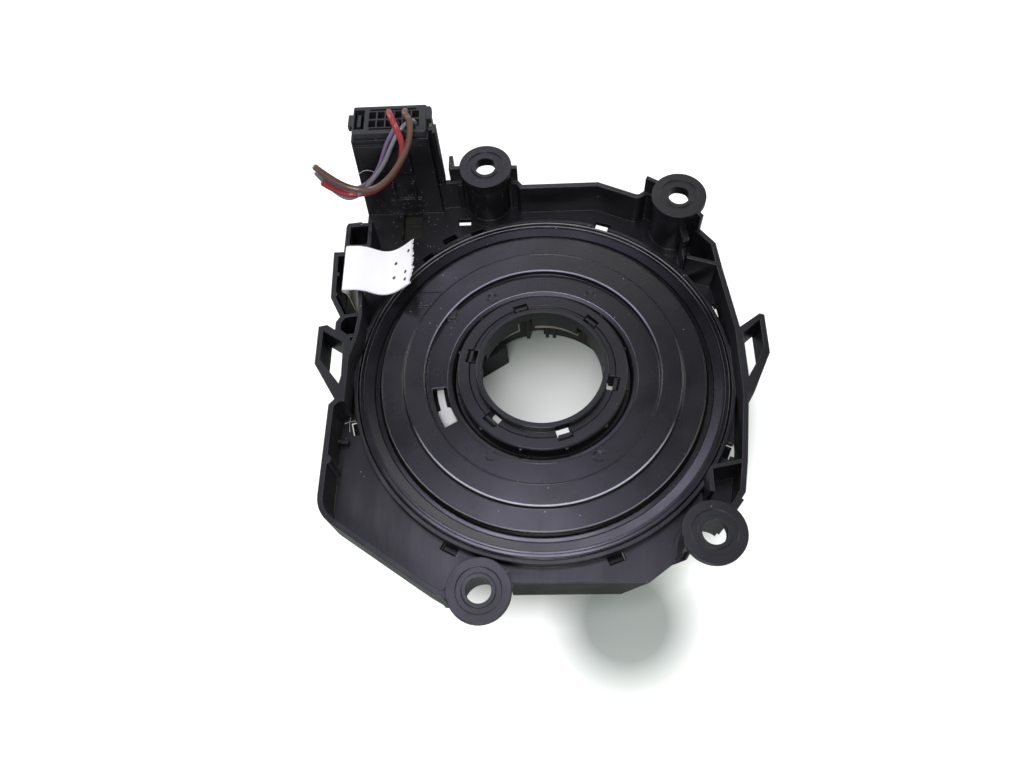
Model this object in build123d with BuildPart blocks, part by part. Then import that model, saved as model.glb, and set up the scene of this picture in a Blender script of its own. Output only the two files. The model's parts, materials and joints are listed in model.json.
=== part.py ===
"""Steering clock spring: the coil cassette between a steering column and a steering wheel.

The frame's origin is on the turning axis, at the top face of the stator's cover ring. +Z points to the
steering column side, which the open bosses and the connector tower face. The connector tower stands on
the -X +Y corner, and the pattern of the four mounting bosses is symmetric about the XZ plane.
"""
import math
import os

from build123d import *

os.makedirs("parts", exist_ok=True)

# Levels of the housing, in millimetres above the cover ring's top face
plate_top = -3.0
wall_top = 9.3
flange_top = 15.5
panel_bottom = -20.0
tower_top = 32.5

# Housing walls
plate_t = 1.8
wall_t = 1.5
rib_t = 1.1
slip = 0.05

# Mounting bosses: a near pair by the tower and a far pair, each symmetric about y = 0
near_x, near_y = -16.5, 65.4
far_x, far_y = 42.4, 51.7
boss_r = 7.0
boss_wall = 1.6
boss_flange_r = 8.2
boss_flange_t = 1.7
boss_web_t = 3.0
boss_depth = 6.0
boss_hole_r = 3.2
boss_recess_r = 5.8
boss_lip_r = 4.3
boss_recess = 0.35
boss_clear_r = boss_r + 1.0
wing_t = 1.2

# Stator chamber and cover ring
chamber_r = 50.0
chamber_wall = 1.8
chamber_bottom = panel_bottom
seat_w = 4.8
seat_r = chamber_r + seat_w
seat_z = -1.6
rim_t = 1.1
rim_top = 0.4
floor_r = 34.0
floor_t = 1.2
floor_z = -18.2
cover_r = seat_r - 0.2
cover_slope_w = 2.6
cover_lip_w = 1.4
cover_lip_top = -1.1
cover_dip = 0.6
hook_angles = (22.5, 69.5, 111.0, 129.5, 194.5, 242.5, 289.5, 335.5)
hook_w = 4.2
hook_t = 1.1
hook_gap = 0.2
window_w = 4.8
window_l = 2.3
window_r = seat_r + rim_t + window_l
barb_z = plate_top - plate_t - 0.2
barb_drop = 1.6

# Rotor
disc_r = 47.8
run_gap = 0.6
cover_lip_r = disc_r + run_gap
cover_in_r = cover_lip_r + cover_lip_w
cover_break_r = cover_in_r + cover_slope_w
disc_t = 1.6
disc_rim_top = 1.7
disc_step_r = 41.2
disc_step_top = 3.0
disc_recess_r = 34.5
disc_recess_top = 1.2
disc_bore_r = 26.1
disc_bottom = -0.4
disc_relief = 0.6
sight_r, sight_w = 30.5, 4.2
sight_from, sight_to = 187.5, 210.5
hub_r = 24.95
hub_top = 3.9
hub_inset = 0.35
hub_step_r = 21.4
hub_bottom = -1.9
rim_r = 19.4
hub_rim_top = 6.2
bore_r = 17.7
snap_count = 6
snap_angle = 46.5
snap_w = 4.4
snap_out_r = 21.9
snap_t = 0.9
snap_catch = 0.7
bump_count = 12
bump_r = 0.55
drum_in_r = 24.3
drum_wall = 1.6
drum_bottom = -19.7
bearing_gap = 0.08
bearing_bottom = -18.45
shoulder_r = 36.0
shoulder_z = -16.7
shoulder_t = 0.8
shelf_in_r = 19.3
shelf_t = 1.5
sleeve_in_r = drum_in_r + drum_wall + 0.25
sleeve_t = 1.3
sleeve_bottom = -11.0
wheel_disc_r = 45.0
wheel_disc_t = 1.3

# Wound flat cable, its guide carrier and the rollers between the two coils
ribbon_w = 13.0
coil_bottom = -15.7
coil_top = coil_bottom + ribbon_w
coil_pitch = 0.62
coil_step = 0.5
outer_turns, inner_turns = 5, 8
outer_coil_out = chamber_r - 0.4
outer_coil_r = outer_coil_out - outer_turns * coil_pitch
inner_coil_in = sleeve_in_r + sleeve_t + 0.25
inner_coil_r = inner_coil_in + inner_turns * coil_pitch
carrier_ring_w = 2.0
carrier_top = -1.6
carrier_t = 0.8
roller_count = 6
roller_gap = 1.6
roller_ring_r = (inner_coil_r + outer_coil_r) / 2
roller_r = (outer_coil_r - inner_coil_r) / 2 - roller_gap
roller_len = 12.2
axle_r = 1.6
axle_gap = 0.06
arm_w = 6.4
arm_angle = 205.0

# Connector tower
tower_x0, tower_x1 = -57.0, -31.8
tower_top_x0 = -54.8
tower_y0, tower_y1 = 62.3, 74.8
tower_wall = 1.5
tower_floor_z = 10.5
tower_floor_t = 1.6
terminal_box_y0 = 47.5
terminal_box_bottom = -13.0
duct_bottom = -17.0

# Twelve-way plug
pitch_x, pitch_y = 2.55, 3.2
cell_columns, cell_rows = 6, 2
cell_x, cell_y = 2.1, 2.7
plug_x0, plug_x1 = tower_top_x0 + tower_wall + 0.1, tower_x1 - tower_wall - 0.1
plug_y0, plug_y1 = tower_y0 + tower_wall + 0.1, tower_y1 - tower_wall - 1.0
plug_cx, plug_cy = plug_x1 - 8.5, (plug_y0 + plug_y1) / 2
plug_bottom = 13.2
plug_rim_h = 2.4
plug_rim_out = 1.0
plug_top = tower_top + slip + plug_rim_h
pin_w = 0.64
pin_bottom = -5.1
pin_top = 24.0
terminal_bottom, terminal_top = 18.0, 31.6
terminal_x, terminal_y = 1.8, 2.3
terminal_bore = 1.1
wire_bend_z = 34.6

# Torn end of the flat cable, which leaves the slot on the left
tail_t = 0.3
tail_y0, tail_y1 = 24.6, 40.2
tail_profile = [(-57.4, -8.0), (-57.9, 2.0), (-57.9, 9.0), (-59.5, 10.6), (-58.8, 11.7), (-53.6, 10.8),
                (-48.4, 6.0), (-43.4, 7.0), (-39.0, 11.2)]

# Wires: each is (cell column, cell row, diameter, route above the terminal)
wire_routes = {
    "brown": (4, 1, 1.9, [
        (-38.0, 68.3, 38.0), (-37.8, 64.6, 40.4), (-37.8, 59.8, 38.8),
        (-39.3, 55.7, 33.8), (-43.3, 54.2, 27.2), (-49.6, 53.9, 21.4), (-55.7, 54.0, 20.4),
        (-60.7, 54.8, 23.0), (-65.5, 56.2, 27.8)]),
    "red": (2, 1, 1.9, [
        (-42.9, 68.3, 37.9), (-42.0, 64.8, 40.0), (-40.5, 60.6, 38.0),
        (-40.8, 58.2, 32.6), (-43.6, 57.2, 26.4), (-48.7, 56.9, 19.5), (-54.9, 56.9, 14.5),
        (-61.2, 57.0, 15.4), (-66.2, 57.2, 20.6)]),
    "violet": (3, 0, 1.3, [
        (-41.0, 65.3, 37.4), (-42.2, 62.0, 37.4), (-43.6, 60.3, 33.4),
        (-46.4, 59.4, 26.0), (-50.0, 59.1, 19.8), (-55.3, 59.3, 13.9), (-61.6, 59.6, 15.6),
        (-67.8, 58.9, 22.6)]),
    "grey": (5, 0, 1.3, [
        (-35.9, 65.3, 37.4), (-37.6, 62.0, 37.6), (-40.4, 60.4, 33.2),
        (-43.9, 60.5, 27.8), (-48.4, 60.5, 22.2), (-52.8, 60.5, 16.9), (-57.0, 60.9, 12.8),
        (-61.6, 61.5, 12.8), (-65.2, 61.3, 17.4), (-68.0, 60.7, 24.2)]),
}

# Front panel below the plate
panel_y = -60.0
panel_x0, panel_x1, panel_foot_x1 = -9.8, 27.5, 20.9

# Outline of the housing, counter-clockwise from the right wall, through the boss centres
outline_points = [
    (50.2, -43.0), (52.6, -39.6), (54.2, -31.0), (56.9, -11.0), (56.9, 9.0), (54.0, 29.5), (53.0, 38.3),
    (48.9, 43.5), (far_x + 1.0, far_y + 2.5), (33.4, 59.0), (31.0, 57.2), (18.8, 62.7), (-5.2, 62.7),
    (-7.2, near_y), (-28.0, near_y + 0.3), (tower_x1, near_y), (tower_x1, tower_y1), (tower_x0, tower_y1),
    (tower_x0, 50.2), (-60.4, 49.9), (-60.4, 39.3), (-63.5, 39.3), (-63.0, 23.0), (-59.6, 16.3),
    (-60.7, 14.6), (-60.7, 11.5), (-58.0, 9.3), (-57.6, -3.0), (-59.0, -10.5), (-60.4, -12.0),
    (-61.0, -43.4), (-31.0, -63.4), (-27.0, -near_y - 0.3), (near_x, -near_y), (panel_x0, panel_y),
    (panel_x1, panel_y), (34.0, -55.3), (far_x, -far_y)]
corner_r = 9.0

bosses = [(near_x, near_y), (far_x, far_y), (far_x, -far_y), (near_x, -near_y)]


def strip(start, end, width):
    """Closed outline of a straight rib between two points, for use in a sketch."""
    (x0, y0), (x1, y1) = start, end
    length = math.hypot(x1 - x0, y1 - y0)
    dx, dy = (y1 - y0) / length * width / 2, -(x1 - x0) / length * width / 2
    return [(x0 + dx, y0 + dy), (x1 + dx, y1 + dy), (x1 - dx, y1 - dy), (x0 - dx, y0 - dy)]


def bend_radii(points):
    """Arc radius at each corner of a path, such that nine tenths of the shorter run go to its arcs."""
    runs = [b - a for a, b in zip(points, points[1:])]
    return [0.45 * min(before.length, after.length) / math.tan(math.radians(before.get_angle(after) / 2))
            for before, after in zip(runs, runs[1:])]


def corner(sketch, x, y):
    """The sketch's corner nearest to a point."""
    return sketch.vertices().sort_by_distance((x, y, 0))[0]


# Outline faces that the housing's plate and walls share; both pass round the bosses
with BuildSketch() as outline:
    with BuildLine():
        Polyline(*outline_points, close=True)
    make_face()
    fillet(corner(outline, -61.0, -43.4), corner_r)
    fillet([corner(outline, 31.0, 57.2), corner(outline, -60.4, 49.9)], wall_t)
    with Locations(*bosses):
        Circle(boss_clear_r, mode=Mode.SUBTRACT)

with BuildSketch() as inline:
    add(outline.sketch)
    offset(amount=-wall_t, kind=Kind.INTERSECTION)

# Housing: one moulding
with BuildPart() as housing:
    # Plate, and the front panel that hangs below it with a slanted end
    with BuildSketch(Plane.XY.offset(plate_top - plate_t)):
        add(outline.sketch)
    extrude(amount=plate_t)
    with BuildSketch(Plane.XZ.offset(-panel_y - wall_t)):
        with BuildLine():
            Polyline(
                (panel_x0, plate_top - slip), (panel_x1, plate_top - slip), (panel_x1, plate_top - plate_t),
                (panel_foot_x1, panel_bottom), (panel_x0, panel_bottom), close=True)
        make_face()
    extrude(amount=wall_t)
    # Cable duct and terminal box below the plate, both open downwards
    with BuildSketch(Plane.XY.offset(duct_bottom)):
        add(outline.sketch)
        with Locations((-54.0, 32.8)):
            Rectangle(20.0, 20.4, mode=Mode.INTERSECT)
        offset(amount=-wall_t, kind=Kind.INTERSECTION, mode=Mode.SUBTRACT)
    extrude(amount=plate_top - plate_t / 2 - duct_bottom)
    with BuildSketch(Plane.XY.offset(terminal_box_bottom)):
        with Locations(((tower_x0 + tower_x1) / 2, (terminal_box_y0 + tower_y1) / 2)):
            Rectangle(tower_x1 - tower_x0, tower_y1 - terminal_box_y0)
            Rectangle(tower_x1 - tower_x0 - 2 * tower_wall, tower_y1 - terminal_box_y0 - 2 * tower_wall,
                      mode=Mode.SUBTRACT)
    extrude(amount=plate_top - plate_t / 2 - terminal_box_bottom)
    # Wall above the plate, left open along the near side and low beside the tower
    with BuildSketch(Plane.XY.offset(plate_top)):
        add(outline.sketch)
        add(inline.sketch, mode=Mode.SUBTRACT)
        with Locations((near_x / 2 + 22, -58)):
            Rectangle(61, 15, mode=Mode.SUBTRACT)
        with Locations((tower_x1, 58)):
            Rectangle(27.6, 15.4, align=(Align.MAX, Align.CENTER), mode=Mode.SUBTRACT)
    extrude(amount=wall_top - plate_top)
    # Connector tower, its left side drawn in towards the top
    with BuildSketch(Plane.XY.offset(plate_top)):
        with Locations(((tower_x0 + tower_x1) / 2, (tower_y0 + tower_y1) / 2)):
            Rectangle(tower_x1 - tower_x0, tower_y1 - tower_y0)
    with BuildSketch(Plane.XY.offset(tower_top)):
        with Locations(((tower_top_x0 + tower_x1) / 2, (tower_y0 + tower_y1) / 2)):
            Rectangle(tower_x1 - tower_top_x0, tower_y1 - tower_y0)
    loft()
    # Front panel, rail and lower latch of the tower
    with BuildSketch(Plane.XZ.offset(-tower_y0)):
        with Locations((-46.2, 24.2)):
            Rectangle(15.6, 13.0)
        with Locations((-42.8, 3.2)):
            Rectangle(10.4, 4.4)
        with Locations((-45.9, 9.4), (-39.4, 9.4)):
            Rectangle(1.0, 8.0)
    extrude(amount=0.9)
    with BuildSketch(Plane.XY.offset(10.0)):
        with Locations((tower_x1 + 1.1, 65.0)):
            Rectangle(2.4, 1.2)
            Rectangle(1.1, 3.2, align=(Align.MIN, Align.CENTER))
    extrude(amount=tower_top - 10.0 + 1.2)
    # Cavity that takes the plug, and the hollow below the tower's floor
    with BuildSketch(Plane.XY.offset(tower_floor_z + tower_floor_t)):
        with Locations(((plug_x0 + plug_x1) / 2, (plug_y0 + plug_y1) / 2)):
            Rectangle(plug_x1 - plug_x0 + 0.2, plug_y1 - plug_y0 + 0.2)
    extrude(amount=tower_top, mode=Mode.SUBTRACT)
    with BuildSketch(Plane.XY.offset(terminal_box_bottom)):
        with Locations(((tower_x0 + tower_x1) / 2, (tower_y0 + tower_y1) / 2)):
            Rectangle(tower_x1 - tower_x0 - 2 * tower_wall, tower_y1 - tower_y0 - 2 * tower_wall)
    extrude(amount=tower_floor_z - terminal_box_bottom, mode=Mode.SUBTRACT)
    # Chamber wall, cover seat and rim around the rotor
    with BuildSketch(Plane.XZ):
        with BuildLine():
            Polyline(
                (chamber_r, chamber_bottom), (chamber_r + chamber_wall, chamber_bottom),
                (chamber_r + chamber_wall, plate_top - plate_t), (seat_r + rim_t, plate_top - plate_t),
                (seat_r + rim_t, rim_top), (seat_r, rim_top), (seat_r, seat_z), (chamber_r, seat_z),
                close=True)
        make_face()
    revolve(axis=Axis.Z)
    # Ribs
    with BuildSketch(Plane.XY.offset(plate_top - slip)):
        for start, end in (
                ((44.4, -32.6), (54.0, -30.7)), ((44.2, -32.2), (44.1, -39.2)),
                ((44.0, 33.8), (53.8, 30.6)), ((43.6, 46.0), (44.2, 34.6)),
                ((-52.8, 50.4), (-52.8, 41.0)), ((-52.4, 41.4), (-60.0, 41.4)), ((-52.4, 49.4), (-60.0, 49.4)),
                ((-54.4, 26.0), (-53.6, 17.4)), ((-53.6, 17.6), (-54.4, 9.4)), ((-54.4, 9.6), (-56.6, 2.2)),
                ((-56.6, 2.4), (-57.6, 2.4)), ((-59.2, 16.4), (-53.6, 17.2)), ((-58.4, 9.6), (-54.2, 10.2)),
                ((-63.0, 38.4), (-60.9, 38.4)), ((-63.0, 31.4), (-61.1, 31.4)), ((-62.9, 24.2), (-61.0, 24.2))):
            with BuildLine():
                Polyline(*strip(start, end, rib_t), close=True)
            make_face()
        with Locations((-59.4, -28.3)):
            Circle(1.3)
    extrude(amount=wall_top - plate_top + slip)
    with BuildSketch(Plane.XY.offset(plate_top - slip)):
        with BuildLine():
            Polyline(*strip((-59.6, -19.4), (-56.4, -19.8), rib_t), close=True)
        make_face()
    extrude(amount=3.0)
    # Wings that carry the wall up to the flanges
    with BuildSketch(Plane.XY.offset(plate_top)):
        for start, end in (
                ((near_x - 5, near_y), (-28.0, near_y)), ((near_x + 5, near_y - 0.3), (-6.6, near_y - 0.6)),
                ((far_x - 3, far_y + 3.4), (33.2, 59.0)), ((far_x + 3, far_y - 3.9), (48.6, 43.8)),
                ((far_x - 5, -far_y - 2.1), (33.6, -55.2)), ((far_x + 4, -far_y + 4.4), (50.0, -43.2)),
                ((near_x - 5, -near_y), (-26.4, -near_y)), ((near_x + 5, -near_y + 3.6), (-9.0, -60.6))):
            with BuildLine():
                Polyline(*strip(start, end, wing_t), close=True)
            make_face()
        with Locations((-27.4, near_y + 2.2), (-26.2, -near_y - 1.2)):
            Rectangle(wing_t, 5.0)
    extrude(amount=flange_top - plate_top - slip)
    # Latch loops on both sides
    for side, top in ((1, 0.0), (-1, 0.3)):
        with BuildSketch(Plane.XY.offset(-1.5)):
            with BuildLine():
                Polyline(
                    (side * 55.8, 8.7), (side * (62.9 + top), 13.7), (side * (64.2 + top * 5), 13.2),
                    (side * (64.2 + top * 5), 1.0), (side * 58.4, -11.1), (side * 56.0, -11.1), close=True)
            make_face()
            with BuildLine():
                Polyline(
                    (side * 57.5, 7.4), (side * (62.7 + top * 5), 11.7), (side * (62.7 + top * 5), 2.4),
                    (side * 57.5, -6.2), close=True)
            make_face(mode=Mode.SUBTRACT)
        extrude(amount=wall_top + 1.5)
    # Bosses: short cups open downwards, each with a flange, a screw hole and a ring-shaped recess
    with BuildSketch(Plane.XY.offset(flange_top - boss_depth)):
        with Locations(*bosses):
            Circle(boss_r)
    extrude(amount=boss_depth)
    with BuildSketch(Plane.XY.offset(flange_top - boss_flange_t)):
        with Locations(*bosses):
            Circle(boss_flange_r)
    extrude(amount=boss_flange_t)
    with BuildSketch(Plane.XY.offset(plate_top)):
        with Locations(*bosses):
            Circle(boss_r - boss_wall)
    extrude(amount=flange_top - boss_web_t - plate_top, mode=Mode.SUBTRACT)
    with BuildSketch(Plane.XY.offset(plate_top)):
        with Locations(*bosses):
            Circle(boss_hole_r)
    extrude(amount=flange_top - plate_top, mode=Mode.SUBTRACT)
    with BuildSketch(Plane.XY.offset(flange_top - boss_recess)):
        with Locations(*bosses):
            Circle(boss_recess_r)
            Circle(boss_lip_r, mode=Mode.SUBTRACT)
    extrude(amount=boss_recess, mode=Mode.SUBTRACT)
    # The chamber is bored clear, and the cover's seat is open from above
    with BuildSketch(Plane.XY.offset(panel_bottom)):
        Circle(chamber_r)
    extrude(amount=tower_top - panel_bottom, mode=Mode.SUBTRACT)
    with BuildSketch(Plane.XY.offset(seat_z)):
        Circle(seat_r)
    extrude(amount=tower_top, mode=Mode.SUBTRACT)
    with BuildSketch(Plane.XY.offset(floor_z)):
        Circle(chamber_r + chamber_wall / 2)
        Circle(floor_r, mode=Mode.SUBTRACT)
    extrude(amount=floor_t)
    # Windows outside the rim over the barbs, the cable slot, the carrier window and light gaps
    with BuildSketch(Plane.XY.offset(plate_top - plate_t - slip)):
        for angle in hook_angles:
            with Locations(Rot(0, 0, angle) * Pos(window_r, 0)):
                Rectangle(window_l + 0.2, window_w, align=(Align.MAX, Align.CENTER))
        with Locations((-58.4, 31.1)):
            Rectangle(6.2, 13.4)
        with Locations((-57.0, 39.0)):
            Rectangle(3.4, 2.8)
        with Locations(((tower_x0 + tower_x1) / 2 + 2.6, 56.9)):
            Rectangle(6.2, 10.6)
        with Locations((-24.6, 57.9)):
            Rectangle(4.0, 2.4)
        for points in ([(54.2, -20.6), (52.4, -25.2), (54.0, -25.9)], [(54.4, 18.4), (52.8, 23.0), (54.3, 23.8)]):
            with BuildLine():
                Polyline(*points, close=True)
            make_face()
    extrude(amount=plate_t + 2 * slip, mode=Mode.SUBTRACT)
    # Slots in the seat for the legs of the hooks
    with BuildSketch(Plane.XY.offset(plate_top - plate_t - slip)):
        for angle in hook_angles:
            with Locations(Rot(0, 0, angle) * Pos(seat_r, 0)):
                Rectangle(seat_r - cover_r + hook_t + hook_gap, hook_w + 2 * hook_gap,
                          align=(Align.MAX, Align.CENTER))
    extrude(amount=seat_z - plate_top + plate_t + 2 * slip, mode=Mode.SUBTRACT)
    # Holes for the header pins
    with BuildSketch(Plane.XY.offset(tower_floor_z - slip)):
        with Locations((plug_cx, plug_cy)):
            with GridLocations(pitch_x, pitch_y, cell_columns, cell_rows):
                Rectangle(pin_w + 2 * slip, pin_w + 2 * slip)
    extrude(amount=tower_floor_t + 2 * slip, mode=Mode.SUBTRACT)
housing.part.label = "housing"
export_step(housing.part, "parts/housing.step")

# Cover ring with its eight snap hooks, whose barbs reach below the windows
cover_face = seat_z + slip / 2
barb_r = window_r - 0.3
with BuildPart() as cover_ring:
    with BuildSketch(Plane.XZ):
        with BuildLine():
            Polyline(
                (cover_lip_r, cover_face), (cover_r, cover_face), (cover_r, 0), (cover_break_r, 0),
                (cover_in_r, -cover_dip), (cover_in_r, cover_lip_top), (cover_lip_r, cover_lip_top), close=True)
        make_face()
    revolve(axis=Axis.Z)
    for angle in hook_angles:
        turned = Plane.XY.rotated((0, 0, angle))
        with BuildSketch(Plane(origin=(0, 0, 0), x_dir=turned.x_dir, z_dir=-turned.y_dir)):
            with BuildLine():
                Polyline(
                    (cover_r - hook_t, cover_face + 0.5), (cover_r - slip, cover_face + 0.5),
                    (cover_r - slip, barb_z), (barb_r, barb_z), (barb_r - 0.4, barb_z - 0.6),
                    (cover_r, barb_z - barb_drop), (cover_r - hook_t, barb_z - barb_drop), close=True)
            make_face()
        extrude(amount=hook_w / 2, both=True)
cover_ring.part.label = "cover_ring"
export_step(cover_ring.part, "parts/cover_ring.step")

# Rotor disc: a stepped annulus with a sleeve that fits over the drum, a sight slot and a raised tab
with BuildPart() as rotor_disc:
    with BuildSketch(Plane.XZ):
        with BuildLine():
            Polyline(
                (disc_bore_r + 1.6, disc_recess_top), (disc_recess_r - 0.3, disc_recess_top),
                (disc_recess_r, disc_step_top), (disc_step_r - 0.6, disc_step_top),
                (disc_step_r, disc_rim_top), (disc_r - 0.5, disc_rim_top), (disc_r, disc_rim_top - 0.5),
                (disc_r, disc_rim_top - disc_t), (disc_step_r - disc_t, disc_rim_top - disc_t),
                (disc_step_r - disc_t - 0.6, disc_step_top - disc_t),
                (disc_recess_r + 1.4, disc_step_top - disc_t),
                (disc_recess_r + 1.2, disc_recess_top - disc_t),
                (sleeve_in_r + sleeve_t, disc_recess_top - disc_t), (sleeve_in_r + sleeve_t, sleeve_bottom),
                (sleeve_in_r, sleeve_bottom), (sleeve_in_r, disc_bottom + 0.8),
                (disc_bore_r + 0.5, disc_recess_top - 0.2), close=True)
        make_face()
    revolve(axis=Axis.Z)
    # Raised corner inside the recess, and the tab that stands up from it
    with BuildSketch(Plane.XY.offset(disc_recess_top - slip)):
        Circle(disc_recess_r + 0.2)
        with Locations((-25.8, 18.9)):
            Rectangle(40, 40, align=(Align.MAX, Align.MIN), mode=Mode.INTERSECT)
    extrude(amount=disc_relief + 0.3 + slip)
    with BuildSketch(Plane.XY.offset(disc_rim_top - 1.2)):
        with Locations((-34.3, 25.8)):
            RectangleRounded(8.4, 4.8, 0.8)
    extrude(amount=disc_relief + 1.2)
    # Sight slot
    with BuildSketch(Plane.XY.offset(disc_recess_top - disc_t - slip)):
        with BuildLine():
            slot_out = CenterArc((0, 0), sight_r + sight_w / 2, sight_from, sight_to - sight_from)
            slot_in = CenterArc((0, 0), sight_r - sight_w / 2, sight_from, sight_to - sight_from)
            Line(slot_out @ 0, slot_in @ 0)
            Line(slot_out @ 1, slot_in @ 1)
        make_face()
    extrude(amount=disc_t + 2 * slip, mode=Mode.SUBTRACT)
    # Ejector marks
    with BuildSketch(Plane.XY.offset(disc_recess_top - 0.2)):
        for angle, radius in ((239.5, 29.2), (300.5, 30.2), (60.0, 30.0), (120.0, 30.0)):
            with Locations(Rot(0, 0, angle) * Pos(radius, 0)):
                Circle(1.5)
    extrude(amount=0.2, mode=Mode.SUBTRACT)
rotor_disc.part.label = "rotor_disc"
export_step(rotor_disc.part, "parts/rotor_disc.step")

# Hub ring: the collar around the column bore, with windows for the drum's hooks
with BuildPart() as hub_ring:
    with BuildSketch(Plane.XZ):
        with BuildLine():
            Polyline(
                (bore_r, hub_bottom), (hub_r, hub_bottom), (hub_r, hub_top - 0.4), (hub_r - 0.4, hub_top),
                (hub_step_r, hub_top), (hub_step_r - 0.2, hub_top - hub_inset),
                (rim_r, hub_top - hub_inset), (rim_r, hub_rim_top - 0.3), (rim_r - 0.3, hub_rim_top),
                (bore_r, hub_rim_top), close=True)
        make_face()
    revolve(axis=Axis.Z)
    with BuildSketch(Plane.XY.offset(hub_bottom)):
        for i in range(snap_count):
            with Locations(Rot(0, 0, snap_angle + i * 360 / snap_count) * Pos(snap_out_r, 0)):
                Rectangle(snap_out_r - rim_r + 0.3, snap_w, align=(Align.MAX, Align.CENTER))
    extrude(amount=hub_rim_top - hub_bottom, mode=Mode.SUBTRACT)
    # Each window opens into the bore below the rim, and has a ledge for the hook's catch
    with BuildSketch(Plane.XY.offset(hub_bottom)):
        for i in range(snap_count):
            with Locations(Rot(0, 0, snap_angle + i * 360 / snap_count) * Pos(rim_r, 0)):
                Rectangle(rim_r - bore_r + 1.0, snap_w, align=(Align.MAX, Align.CENTER))
    extrude(amount=hub_top - hub_inset - 0.8 - hub_bottom, mode=Mode.SUBTRACT)
    with BuildSketch(Plane.XY.offset(hub_top - 1.0)):
        for i in range(snap_count):
            with Locations(Rot(0, 0, snap_angle + i * 360 / snap_count) * Pos(snap_out_r + snap_catch, 0)):
                Rectangle(snap_catch + 0.3, snap_w, align=(Align.MAX, Align.CENTER))
    extrude(amount=1.0 + slip, mode=Mode.SUBTRACT)
    with BuildSketch(Plane.XY.offset(hub_top - 1.6)):
        for i in range(bump_count):
            with Locations(Rot(0, 0, 15 + i * 360 / bump_count) * Pos(hub_r, 0)):
                Circle(bump_r)
    extrude(amount=1.0)
hub_ring.part.label = "hub_ring"
export_step(hub_ring.part, "parts/hub_ring.step")

# Rotor drum: sleeve, bearing ring over the stator's floor, shelf with six hooks, and wheel-side socket
with BuildPart() as rotor_drum:
    bearing_r = floor_r - bearing_gap
    with BuildSketch(Plane.XZ):
        with BuildLine():
            Polyline(
                (drum_in_r, drum_bottom), (drum_in_r + drum_wall, drum_bottom),
                (drum_in_r + drum_wall, bearing_bottom), (bearing_r, bearing_bottom),
                (bearing_r, shoulder_z), (shoulder_r, shoulder_z), (shoulder_r, shoulder_z + shoulder_t),
                (drum_in_r + drum_wall, shoulder_z + shoulder_t), (drum_in_r + drum_wall, hub_bottom),
                (shelf_in_r, hub_bottom), (shelf_in_r, hub_bottom - shelf_t),
                (drum_in_r, hub_bottom - shelf_t), close=True)
        make_face()
    revolve(axis=Axis.Z)
    # Hooks that stand in the hub ring's windows
    for i in range(snap_count):
        turned = Plane.XY.rotated((0, 0, snap_angle + i * 360 / snap_count))
        with BuildSketch(Plane(origin=(0, 0, 0), x_dir=turned.x_dir, z_dir=-turned.y_dir)):
            with BuildLine():
                Polyline(
                    (snap_out_r - 0.1 - snap_t, hub_bottom - slip), (snap_out_r - 0.1, hub_bottom - slip),
                    (snap_out_r - 0.1, hub_top - 0.95), (snap_out_r + snap_catch - 0.1, hub_top - 0.95),
                    (snap_out_r - 0.2, hub_top - 0.2), (snap_out_r - 0.1 - snap_t, hub_top - 0.2), close=True)
            make_face()
        extrude(amount=snap_w / 2 - 0.3, both=True)
    # Gaps in the shelf inside the hooks
    with BuildSketch(Plane.XY.offset(hub_bottom - shelf_t - slip)):
        for i in range(snap_count):
            with Locations(Rot(0, 0, snap_angle + i * 360 / snap_count) * Pos(snap_out_r - 0.1 - snap_t, 0)):
                Rectangle(snap_out_r - snap_t - shelf_in_r + 0.6, snap_w, align=(Align.MAX, Align.CENTER))
    extrude(amount=shelf_t + 2 * slip, mode=Mode.SUBTRACT)
    # Light gaps in the shelf above the terminal carrier
    with BuildSketch(Plane.XY.offset(hub_bottom - shelf_t)):
        for start, span in ((57, 40), (109, 26)):
            with BuildLine():
                gap_out = CenterArc((0, 0), drum_in_r - 0.6, start, span)
                gap_in = CenterArc((0, 0), shelf_in_r - 0.5, start, span)
                Line(gap_out @ 0, gap_in @ 0)
                Line(gap_out @ 1, gap_in @ 1)
            make_face()
    extrude(amount=shelf_t / 2, mode=Mode.SUBTRACT)
    # Guide posts on the inside of the sleeve, with a gap in its lower edge between them
    with BuildSketch(Plane.XY.offset(drum_bottom)):
        with Locations((-4.5, 23.6), (1.6, 23.9), (3.9, 23.7)):
            Rectangle(1.1, 1.6)
    extrude(amount=hub_bottom - drum_bottom)
    with BuildSketch(Plane.XY.offset(drum_bottom)):
        with Locations((-1.6, 25.2)):
            Rectangle(4.2, 4.0)
    extrude(amount=-16.0 - drum_bottom, mode=Mode.SUBTRACT)
    # Wheel-side socket body, open downwards
    socket_plane = Plane(origin=(0, 0, drum_bottom), x_dir=(0.844, 0.536, 0), z_dir=(0, 0, 1))
    with BuildSketch(socket_plane):
        with Locations((-6.65, 20.7)):
            Rectangle(10.1, 5.6)
        with Locations((-2.9, 22.9)):
            Rectangle(4.0, 2.0)
    extrude(amount=10.7)
    with BuildSketch(socket_plane):
        with Locations((-6.65, 20.4)):
            Rectangle(8.1, 3.4)
    extrude(amount=8.6, mode=Mode.SUBTRACT)
    with BuildSketch(socket_plane.offset(8.6 - slip)):
        with Locations((-6.65, 20.4)):
            with GridLocations(2.0, 1.0, 4, 1):
                Rectangle(0.7, 0.7)
    extrude(amount=3.0, mode=Mode.SUBTRACT)
rotor_drum.part.label = "rotor_drum"
export_step(rotor_drum.part, "parts/rotor_drum.step")

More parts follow.
